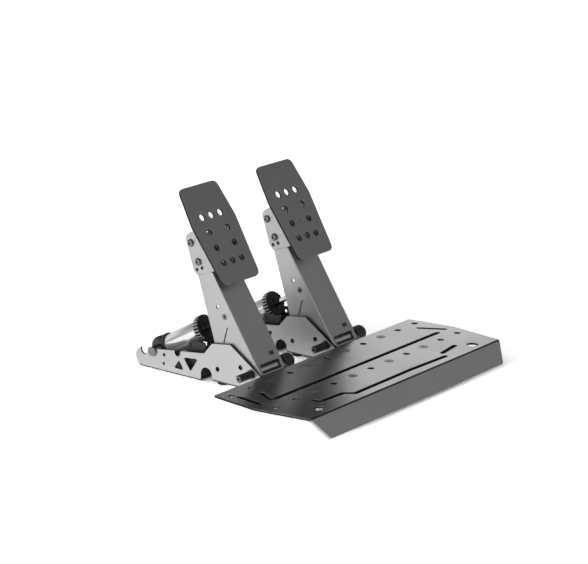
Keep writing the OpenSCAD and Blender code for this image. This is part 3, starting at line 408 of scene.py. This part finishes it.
def makeFinish(name, s):
    material = bpy.data.materials.new(name)
    material.use_nodes = True
    tree = material.node_tree
    shader = tree.nodes["Principled BSDF"]
    shader.inputs["Metallic"].default_value = s["metallic"]
    place = addNode(tree, "ShaderNodeTexCoord").outputs["Object"]
    grain = addNode(tree, "ShaderNodeGroup", node_tree=grainGroup)
    grain.inputs["Grain Scale"].default_value = s["grain"]
    grain.inputs["Cloud Scale"].default_value = s["cloud"]
    edges = addNode(tree, "ShaderNodeGroup", node_tree=edgesGroup)
    for group in (grain, edges):
        tree.links.new(place, group.inputs["Vector"])
    tone = grain.outputs["Cloud"]
    height = grain.outputs["Height"]
    if "lines" in s:
        lines = addNode(tree, "ShaderNodeGroup", node_tree=linesGroup)
        lines.inputs["Stretch"].default_value = s["lines"]
        tree.links.new(place, lines.inputs["Vector"])
        tone = height = lines.outputs["Lines"]
    darker = [c * (1 - s["toneSpread"]) for c in s["color"]]
    lighter = [min(1, c * (1 + s["toneSpread"])) for c in s["color"]]
    color = mixColor(tree, tone, darker, lighter)
    color = mixColor(tree, mathNode(tree, "MULTIPLY", edges.outputs["Mask"], s["wornMix"]), color, s["worn"])
    if s["dust"]:
        dust = addNode(tree, "ShaderNodeGroup", node_tree=dustGroup)
        tree.links.new(place, dust.inputs["Vector"])
        color = mixColor(tree, mathNode(tree, "MULTIPLY", dust.outputs["Mask"], s["dust"]), color, dustColor)
    # Painted light where the finish has a mask: painted shade on edges and recesses, a painted highlight on rib
    # tops
    if "mask" in s:
        mask = addNode(tree, "ShaderNodeGroup", node_tree=maskGroups[s["mask"]])
        if "sides" in s:
            mask.inputs["Inner"].default_value, mask.inputs["Outer"].default_value = s["sides"]
        tree.links.new(place, mask.inputs["Vector"])
        color = mixColor(tree, mask.outputs["Mask"], color, s["cut"])
    tree.links.new(color, shader.inputs["Base Color"])
    gloss = {"toLow": s["rough"] - s["roughSpread"], "toHigh": s["rough"] + s["roughSpread"]}
    rough = rangeNode(tree, tone, low=0.3, high=0.7, **gloss)
    tree.links.new(rough, shader.inputs["Roughness"])
    bump = addNode(tree, "ShaderNodeBump", {"Strength": s["bump"], "Distance": s["bumpDepth"]})
    tree.links.new(height, bump.inputs["Height"])
    tree.links.new(bump.outputs["Normal"], shader.inputs["Normal"])
    return material


materials = {name: makeFinish(name, s) for name, s in finishes.items()}

# The record's slots and the finish that each one gets
finishOfSlot = {
    "heel_sheet": "heelSheet", "frame_sheet": "frameSheet", "arm_sheet": "armSheet", "face_sheet": "faceSheet",
    "bright_steel": "brightSteel", "spring_steel": "brightSteel", "polished_rod": "polishedRod",
    "tube_metal": "tubeSilver", "black_metal": "blackMetal", "black_screws": "blackScrew",
    "knob_plastic": "knobPlastic", "black_plastic": "blackPlastic", "foot_rubber": "footRubber",
    "pad_rubber": "padRubber", "bush_bronze": "bushBronze",
}
# Some parts of a slot look different in the photograph
finishOfPart = {
    "plate_screws": "plateScrew", "face_bracket": "bracketSheet", "face_screws": "faceScrew",
    "bracket_bolts": "boltSteel", "rear_pin": "boltSteel", "rod_pin": "boltSteel",
    "pivot_axle": "boltSteel", "axle_washers": "boltSteel", "axle_sleeve": "blackScrew",
}


def materialOf(nodeName):
    # The part's name is the node's without the first word, which is the pedal's
    part = nodeName.split("_", 1)[1]
    return materials[finishOfPart.get(part, finishOfSlot[slotOf[nodeName]])]


for nodeName, node in nodes.items():
    node.data.materials.clear()
    node.data.materials.append(materialOf(nodeName))
print("finishes made:", len(materials))


# Meshes

def pieceFromMesh(name, mesh, nodeName, sharpAngle=40.0):
    # A finished piece sits at the origin and stands for its CAD node
    mesh.materials.clear()
    mesh.materials.append(materialOf(nodeName))
    mesh.shade_smooth()
    mesh.set_sharp_from_angle(angle=math.radians(sharpAngle))
    piece = bpy.data.objects.new(name, mesh)
    bpy.context.scene.collection.objects.link(piece)
    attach(piece, bodyOf[nodeName])
    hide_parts(nodeName)
    return piece


def addBevel(piece, width, segments=2, angle=40.0):
    # Clamping is off, so that a short edge somewhere doesn't narrow the bevel everywhere
    bevel = piece.modifiers.new("roundedEdges", "BEVEL")
    bevel.width = width
    bevel.segments = segments
    bevel.limit_method = "ANGLE"
    bevel.angle_limit = math.radians(angle)
    bevel.use_clamp_overlap = False
    weighted = piece.modifiers.new("flatFaces", "WEIGHTED_NORMAL")
    weighted.keep_sharp = True
    weighted.weight = 100


def edgedCopy(nodeName, width):
    # A merged copy of the node, its flat areas dissolved, with narrow rounded edges
    mergeWithin, flatWithin = 2e-6, math.radians(1.0)
    mesh = nodes[nodeName].data.copy()
    shape = bmesh.new()
    shape.from_mesh(mesh)
    bmesh.ops.remove_doubles(shape, verts=shape.verts, dist=mergeWithin)
    bmesh.ops.dissolve_limit(shape, angle_limit=flatWithin, verts=shape.verts, edges=shape.edges)
    shape.to_mesh(mesh)
    shape.free()
    addBevel(pieceFromMesh(nodeName + "_edged", mesh, nodeName), width)


def hexFactor(angles):
    # Distance to a hexagon's side along each angle, as a share of its corner radius
    return math.cos(math.pi / 6) / np.cos((angles % (math.pi / 3)) - math.pi / 6)


def ribFactor(angles, count):
    # Ribs with steep sides: 0 on a rib, 1 at the bottom of a valley
    dip = (1 - np.cos(count * angles)) / 2
    return dip * dip * (3 - 2 * dip)


def gridQuads(rows, columns, closed):
    # Faces between the rings of a grid, joined round each ring; closed also joins the last ring to the first
    i, j = np.meshgrid(np.arange(rows if closed else rows - 1), np.arange(columns), indexing="ij")
    here, there = i * columns, (i + 1) % rows * columns
    nextJ = (j + 1) % columns
    return np.stack([here + j, here + nextJ, there + nextJ, there + j], axis=-1).reshape(-1, 4)


def turnedGrid(stations, origin, axis, side, sides, ribs=0, ribDepth=0.0):
    # A closed profile carried round an axis. Each station is the distance along the axis, the radius, and how far
    # it is hexagonal and ribbed: r(a) = radius * (1 + hex * (hexFactor(a) - 1)) - rib * ribDepth * ribFactor(a)
    table = np.array([[*s, 0, 0][:4] for s in stations], dtype=float)
    along, plain, hexagonal, ribbed = (table[:, k:k + 1] for k in range(4))
    angles = np.linspace(0, 2 * math.pi, sides, endpoint=False)
    radius = plain * (1 + hexagonal * (hexFactor(angles)[None, :] - 1))
    if ribs:
        radius = radius - ribbed * ribDepth * ribFactor(angles, ribs)[None, :]
    axis = np.array(axis, dtype=float)
    side = np.array(side, dtype=float)
    other = np.cross(axis, side)
    ring = np.cos(angles)[:, None] * side + np.sin(angles)[:, None] * other
    points = np.array(origin) + along[:, :, None] * axis + radius[:, :, None] * ring[None, :, :]
    return points.reshape(-1, 3), gridQuads(*radius.shape, closed=True)


def meshFromGrids(name, grids):
    # Several grids of four-sided faces become one mesh; poles are merged and the faces turned outwards
    corners, mergeWithin = 4, 1e-7
    offset, allPoints, allFaces = 0, [], []
    for points, faces in grids:
        allPoints.append(points)
        allFaces.append(faces + offset)
        offset += len(points)
    points, faces = np.concatenate(allPoints), np.concatenate(allFaces)
    mesh = bpy.data.meshes.new(name)
    mesh.vertices.add(len(points))
    mesh.vertices.foreach_set("co", points.ravel())
    mesh.loops.add(faces.size)
    mesh.loops.foreach_set("vertex_index", faces.ravel())
    mesh.polygons.add(len(faces))
    mesh.polygons.foreach_set("loop_start", np.arange(0, faces.size, corners))
    mesh.update(calc_edges=True)
    shape = bmesh.new()
    shape.from_mesh(mesh)
    bmesh.ops.remove_doubles(shape, verts=shape.verts, dist=mergeWithin)
    bmesh.ops.recalc_face_normals(shape, faces=shape.faces)
    shape.to_mesh(mesh)
    shape.free()
    return mesh


def pieceFromGrids(nodeName, ending, grids, sharpAngle):
    return pieceFromMesh(nodeName + ending, meshFromGrids(nodeName, grids), nodeName, sharpAngle)


def mm(rows):
    # Stations are written in millimetres: the first two values are lengths
    return [(r[0] / 1000, r[1] / 1000, *r[2:]) for r in rows]


def cylinderFrame(pedal):
    rise = linkage["cylinderRise"]
    origin = (pedals[pedal]["x"], linkage["rearPinY"], linkage["rearPinZ"])
    return origin, (0, -math.cos(rise), math.sin(rise))


def armPoint(pedal, x, y, w):
    # Arm frame to the set's frame: y is square to the arm, w along it
    s, c = math.sin(linkage["armTilt"]), math.cos(linkage["armTilt"])
    return (pedals[pedal]["x"] + x, linkage["pivotY"] + y * c + w * s, linkage["pivotZ"] - y * s + w * c)


# Sheet metal: heel plate, frames, arms, brackets and faces

heelEdge = 0.0006
sheetEdges = {"base_frame": 0.0004, "pedal_arm": 0.0004, "face_bracket": 0.0005, "face_plate": 0.0004}


def edgeOnBoth(widths):
    # The same parts on both pedals, with the width of their rounded edges in metres
    for pedal in pedals:
        for part, width in widths.items():
            edgedCopy(pedal + "_" + part, width)


edgedCopy("heel_plate", heelEdge)
edgeOnBoth(sheetEdges)
print("sheet metal edged")


# Preload knob

knobForm = {
    "ribs": 24, "ribDepth": 0.0016, "radius": 18.5, "length": 10.0, "wall": 3.0, "bore": 14.05, "hub": 4.7,
    "sides": 384,
}


def knobStations(front, s):
    # The ribbed rim, the sunk ring of the front with its raised hub, and the bore
    back, r, hub, inner = front - s["length"], s["radius"], s["hub"], front - s["wall"]
    return [
        (back, s["bore"]), (back, r - 1.0, 0, 1), (back + 0.25, r - 0.4, 0, 1), (back + 0.7, r, 0, 1),
        (front - 0.9, r, 0, 1), (front - 0.35, r - 0.35, 0, 1), (front, r - 1.1, 0, 0.9), (front, r - 3.1),
        (front - 0.25, r - 3.4), (front - 0.8, r - 3.6), (front - 0.8, 8.2), (front - 0.2, 7.8), (front, 7.4),
        (front, hub + 0.3), (front - 0.3, hub), (inner, hub), (inner, s["bore"]),
    ]


for pedal, p in pedals.items():
    origin, axis = cylinderFrame(pedal)
    rows = mm(knobStations(p["knobFront"] * 1000, knobForm))
    grid = turnedGrid(rows, origin, axis, acrossSet, knobForm["sides"], knobForm["ribs"], knobForm["ribDepth"])
    pieceFromGrids(pedal + "_preload_knob", "_ribbed", [grid], sharpAngle=50)
print("knobs turned")


# Cylinder tube and push rod

tubeForm = {"start": 9.5, "outer": 14.0, "inner": 12.0, "gap": 0.3, "sides": 128}
rodForm = {
    "radius": 4.0, "pistonRadius": 11.6, "piston": 4.0, "gland": 8.0, "pistonGap": 0.3, "short": 13.0,
    "sides": 64,
}


def tubeStations(front, s):
    # Rounded ends, and a shallow groove near the rear one
    start, end, r = s["start"], front - knobForm["wall"] - s["gap"], s["outer"]
    return [
        (start, s["inner"]), (start, r - 0.5), (start + 0.15, r - 0.15), (start + 0.5, r),
        (start + 2.2, r), (start + 2.35, r - 0.18), (start + 2.75, r - 0.18), (start + 2.9, r),
        (end - 0.5, r), (end - 0.15, r - 0.15), (end, r - 0.5), (end, s["inner"]),
    ]


def rodStations(front, s):
    # The piston behind the gland, then the rod as far as the eye's shank
    pistonFront = front - knobForm["wall"] - s["gland"] - s["pistonGap"]
    pistonRear = pistonFront - s["piston"]
    end = linkage["rodPinDistance"] * 1000 - s["short"]
    r, big = s["radius"], s["pistonRadius"]
    return [
        (pistonRear, 0), (pistonRear, big - 0.4), (pistonRear + 0.4, big), (pistonFront - 0.4, big),
        (pistonFront, big - 0.4), (pistonFront, r + 0.2), (pistonFront + 0.2, r), (end - 0.5, r),
        (end, r - 0.5), (end, 0),
    ]


cylinderParts = {"cylinder_tube": (tubeStations, tubeForm), "push_rod": (rodStations, rodForm)}
for pedal, p in pedals.items():
    origin, axis = cylinderFrame(pedal)
    for part, (stations, form) in cylinderParts.items():
        rows = mm(stations(p["knobFront"] * 1000, form))
        grid = turnedGrid(rows, origin, axis, acrossSet, form["sides"])
        pieceFromGrids(pedal + "_" + part, "_turned", [grid], sharpAngle=30)
print("cylinders turned")


# Return spring of the throttle: a round wire along a helix

springForm = {
    "start": 14.7, "end": 54.5, "wire": 2.0, "radius": 9.6, "turns": 6, "steps": 40, "section": 16,
    "stroke": 24.3,
}


def coilGrid(origin, axis, side, s):
    # Centre line: radius * (cos t, sin t) round the axis while the distance along it grows evenly with t.
    # Section: wire / 2 * (cos u * outwards + sin u * across), where across is the tangent crossed with outwards
    half = s["wire"] / 2
    turn = np.linspace(0, 2 * math.pi * s["turns"], s["turns"] * s["steps"] + 1)
    along = np.linspace(s["start"] + half, s["end"] - half, len(turn))
    axis, side = np.array(axis, dtype=float), np.array(side, dtype=float)
    other = np.cross(axis, side)
    outwards = np.cos(turn)[:, None] * side + np.sin(turn)[:, None] * other
    tangent = s["radius"] * (np.cos(turn)[:, None] * other - np.sin(turn)[:, None] * side)
    tangent = tangent + (along[-1] - along[0]) / turn[-1] * axis
    across = np.cross(tangent, outwards)
    across /= np.linalg.norm(across, axis=1)[:, None]
    u = np.linspace(0, 2 * math.pi, s["section"], endpoint=False)
    cosU, sinU = np.cos(u)[None, :, None], np.sin(u)[None, :, None]
    ring = half * (cosU * outwards[:, None, :] + sinU * across[:, None, :])
    centre = along[:, None] * axis + s["radius"] * outwards
    caps = centre[[0, -1]][:, None, :] + 0 * ring[[0, -1]]
    points = np.concatenate([caps[:1], centre[:, None, :] + ring, caps[1:]])
    return np.array(origin) + points.reshape(-1, 3) / 1000, gridQuads(*points.shape[:2], closed=False)


origin, axis = cylinderFrame("throttle")
coil = coilGrid(origin, axis, acrossSet, springForm)
spring = pieceFromGrids("throttle_return_spring", "_wound", [coil], sharpAngle=60)
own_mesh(spring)
print("spring wound")


# Bracket bolts: domed heads with a hexagon socket

boltForm = {
    "shank": 3.0, "head": 5.25, "height": 3.3, "socket": 2.3, "deep": 1.9, "length": 12.0, "seat": 29.0,
    "dome": (12, 28, 45, 62, 78, 90), "sides": 48,
}
boltPlaces = [(-1.6, 190.7), (0.5, 163.9)]  # square to the arm and along it, in mm


def boltStations(s):
    # The dome is a quarter of an ellipse, (height * sin a, flat + (head - flat) * cos a),
    # up to the flat ring round the socket
    r, h, shank, socket, tip = s["head"], s["height"], s["shank"], s["socket"], -s["length"]
    flat, bottom = socket + 0.55, s["height"] - s["deep"]
    dome = [(h * math.sin(a), flat + (r - flat) * math.cos(a)) for a in np.radians(s["dome"])]
    return [
        (tip, 0), (tip, shank - 0.5), (tip + 0.5, shank), (0, shank), (0, r - 0.15), (0.15, r), *dome,
        (h, socket + 0.3), (h - 0.25, socket, 1), (bottom, socket, 1), (bottom - 0.4, 0),
    ]


for pedal, p in pedals.items():
    grids = []
    for out in (-1, 1):
        for y, w in boltPlaces:
            origin = armPoint(pedal, out * boltForm["seat"] / 1000, y / 1000, w / 1000)
            rows = mm(boltStations(boltForm))
            grids.append(turnedGrid(rows, origin, (out, 0, 0), alongSet, boltForm["sides"]))
    pieceFromGrids(pedal + "_bracket_bolts", "_domed", grids, sharpAngle=35)
print("bolts made")


# Pivot sleeves: black, with turned grooves round the middle

sleeveForm = {
    "start": -56.0, "end": -31.5, "outer": 5.25, "bore": 4.05, "grooves": 9, "depth": 0.5, "plain": 2.6,
    "steps": 8, "sides": 72,
}


def sleeveStations(s):
    # Radius of the grooved part: outer - depth / 2 * (1 - cos(2 pi * grooves * share)), with share from 0 to 1
    start, end, r = s["start"], s["end"], s["outer"]
    share = np.linspace(0, 1, s["grooves"] * s["steps"] + 1)
    along = start + s["plain"] + share * (end - start - 2 * s["plain"])
    grooved = r - s["depth"] / 2 * (1 - np.cos(2 * math.pi * s["grooves"] * share))
    return [
        (start, s["bore"]), (start, r - 0.9), (start + 0.3, r - 0.35), (start + 0.9, r), *zip(along, grooved),
        (end - 0.5, r), (end, r - 0.5), (end, s["bore"]),
    ]


for pedal, p in pedals.items():
    origin = (p["x"], linkage["pivotY"], linkage["pivotZ"])
    grid = turnedGrid(mm(sleeveStations(sleeveForm)), origin, acrossSet, alongSet, sleeveForm["sides"])
    pieceFromGrids(pedal + "_axle_sleeve", "_grooved", [grid], sharpAngle=35)
print("sleeves turned")


# The other pieces keep their CAD form with rounded edges

heelFastenerEdges = {"heel_plate_screws": 0.0002, "heel_plate_nuts": 0.0003}
smallEdges = {
    "feet": 0.0004, "controller_box": 0.0007, "axle_washers": 0.0002, "pivot_axle": 0.0004,
    "pivot_tube": 0.0003, "sensor_housing": 0.0006, "rear_pin": 0.0007, "cylinder_end": 0.0005,
    "rod_eye": 0.0006, "rod_pin": 0.0003, "rod_pin_spacers": 0.0003, "face_screws": 0.00015,
    "face_nuts": 0.0002, "bracket_nuts": 0.0002, "box_screws": 0.00015, "cylinder_gland": 0.0003,
}
edgeOnBoth(smallEdges)
for nodeName, width in heelFastenerEdges.items():
    edgedCopy(nodeName, width)
print("small pieces edged")


# Studio: pale floor and backdrop, soft lamps

studio = {
    "floorSize": 24.0,
    "floor": 0.80,
    "seenFloor": 3.1,
    "farGlow": 0.45,
    "glowFrom": 0.6,
    "glowFull": 1.6,
    "brightSide": (-0.70, -0.65, -0.30),
    "dim": 0.03,
    "bright": 0.50,
    "dimAt": -0.95,
    "brightAt": 0.7,
}
# Where each lamp stands, what it looks at, its width and height, and its power in watts
lamps = {
    "overhead": {"place": (-1.0, 0.5, 2.2), "target": (0, 0, 0), "size": (2.0, 2.0), "power": 6.0},
    "leftBox": {"place": (-2.3, 0.5, 0.75), "target": (0, 0, 0.05), "size": (1.5, 0.9), "power": 10.5},
    "rightBackCard": {
        "place": (0.89, 0.42, 0.31), "target": (0.15, -0.15, 0.03), "size": (0.28, 0.32), "power": 0.29,
    },
    "frontRightFill": {"place": (1.6, -1.1, 0.95), "target": (0, 0, 0.05), "size": (1.4, 1.0), "power": 0.66},
    "backCard": {"place": (0.15, 2.17, 0.55), "target": (-0.05, 0.1, 0.06), "size": (2.4, 0.8), "power": 4.6},
}


def makeFloor(s):
    half = s["floorSize"] / 2
    mesh = bpy.data.meshes.new("studioFloor")
    mesh.from_pydata([(-half, -half, 0), (half, -half, 0), (half, half, 0), (-half, half, 0)], [], [(0, 1, 2, 3)])
    floor = bpy.data.objects.new("studioFloor", mesh)
    bpy.context.scene.collection.objects.link(floor)
    material = bpy.data.materials.new("studioFloor")
    material.use_nodes = True
    tree = material.node_tree
    tree.nodes.remove(tree.nodes["Principled BSDF"])
    # Seen by the camera or in a reflection the floor is whiter, so it reads as white ground and keeps its shadow
    path = addNode(tree, "ShaderNodeLightPath")
    seen = mathNode(tree, "MAXIMUM", path.outputs["Is Glossy Ray"], path.outputs["Is Transmission Ray"])
    seen = mathNode(tree, "MAXIMUM", path.outputs["Is Camera Ray"], seen)
    ground = addNode(tree, "ShaderNodeBsdfDiffuse")
    white = rangeNode(tree, seen, low=0.0, high=1.0, toLow=s["floor"], toHigh=s["seenFloor"])
    tree.links.new(white, ground.inputs["Color"])
    # Away from the set, where the lamps fade, the camera sees it glow; the distance is from the middle, in metres
    distance = vectorNode(tree, "LENGTH", addNode(tree, "ShaderNodeTexCoord").outputs["Object"], None)
    far = rangeNode(tree, distance, low=s["glowFrom"], high=s["glowFull"], toHigh=s["farGlow"])
    glow = addNode(tree, "ShaderNodeEmission", {"Color": (1, 1, 1, 1)})
    tree.links.new(mathNode(tree, "MULTIPLY", far, path.outputs["Is Camera Ray"]), glow.inputs["Strength"])
    both = addNode(tree, "ShaderNodeAddShader")
    tree.links.new(ground.outputs[0], both.inputs[0])
    tree.links.new(glow.outputs[0], both.inputs[1])
    tree.links.new(both.outputs[0], tree.nodes["Material Output"].inputs["Surface"])
    mesh.materials.append(material)


def makeWorld(s):
    # The room is brighter towards one side, by direction . brightSide; the camera itself sees white
    world = bpy.data.worlds.new("studioWorld")
    bpy.context.scene.world = world
    world.use_nodes = True
    tree = world.node_tree
    tree.nodes.clear()
    direction = addNode(tree, "ShaderNodeTexCoord").outputs["Generated"]
    dot = vectorNode(tree, "DOT_PRODUCT", direction, Vector(s["brightSide"]).normalized())
    levels = {"toLow": s["dim"], "toHigh": s["bright"], "interpolation_type": "SMOOTHSTEP"}
    level = rangeNode(tree, dot, low=s["dimAt"], high=s["brightAt"], **levels)
    room = addNode(tree, "ShaderNodeBackground", {"Color": (1, 1, 1, 1)})
    tree.links.new(level, room.inputs["Strength"])
    backdrop = addNode(tree, "ShaderNodeBackground", {"Color": (1, 1, 1, 1), "Strength": 1.0})
    path = addNode(tree, "ShaderNodeLightPath")
    mix = addNode(tree, "ShaderNodeMixShader")
    tree.links.new(path.outputs["Is Camera Ray"], mix.inputs[0])
    tree.links.new(room.outputs[0], mix.inputs[1])
    tree.links.new(backdrop.outputs[0], mix.inputs[2])
    out = addNode(tree, "ShaderNodeOutputWorld")
    tree.links.new(mix.outputs[0], out.inputs["Surface"])


def makeLamp(name, s):
    data = bpy.data.lights.new(name, "AREA")
    data.shape = "RECTANGLE"
    data.size, data.size_y = s["size"]
    data.energy = s["power"]
    lamp = bpy.data.objects.new(name, data)
    lamp.location = s["place"]
    lamp.rotation_mode = "QUATERNION"
    lamp.rotation_quaternion = (Vector(s["target"]) - Vector(s["place"])).to_track_quat("-Z", "Y")
    bpy.context.scene.collection.objects.link(lamp)


makeFloor(studio)
makeWorld(studio)
for name, lamp in lamps.items():
    makeLamp(name, lamp)
bpy.context.scene.view_settings.view_transform = "Standard"
print("studio lit")
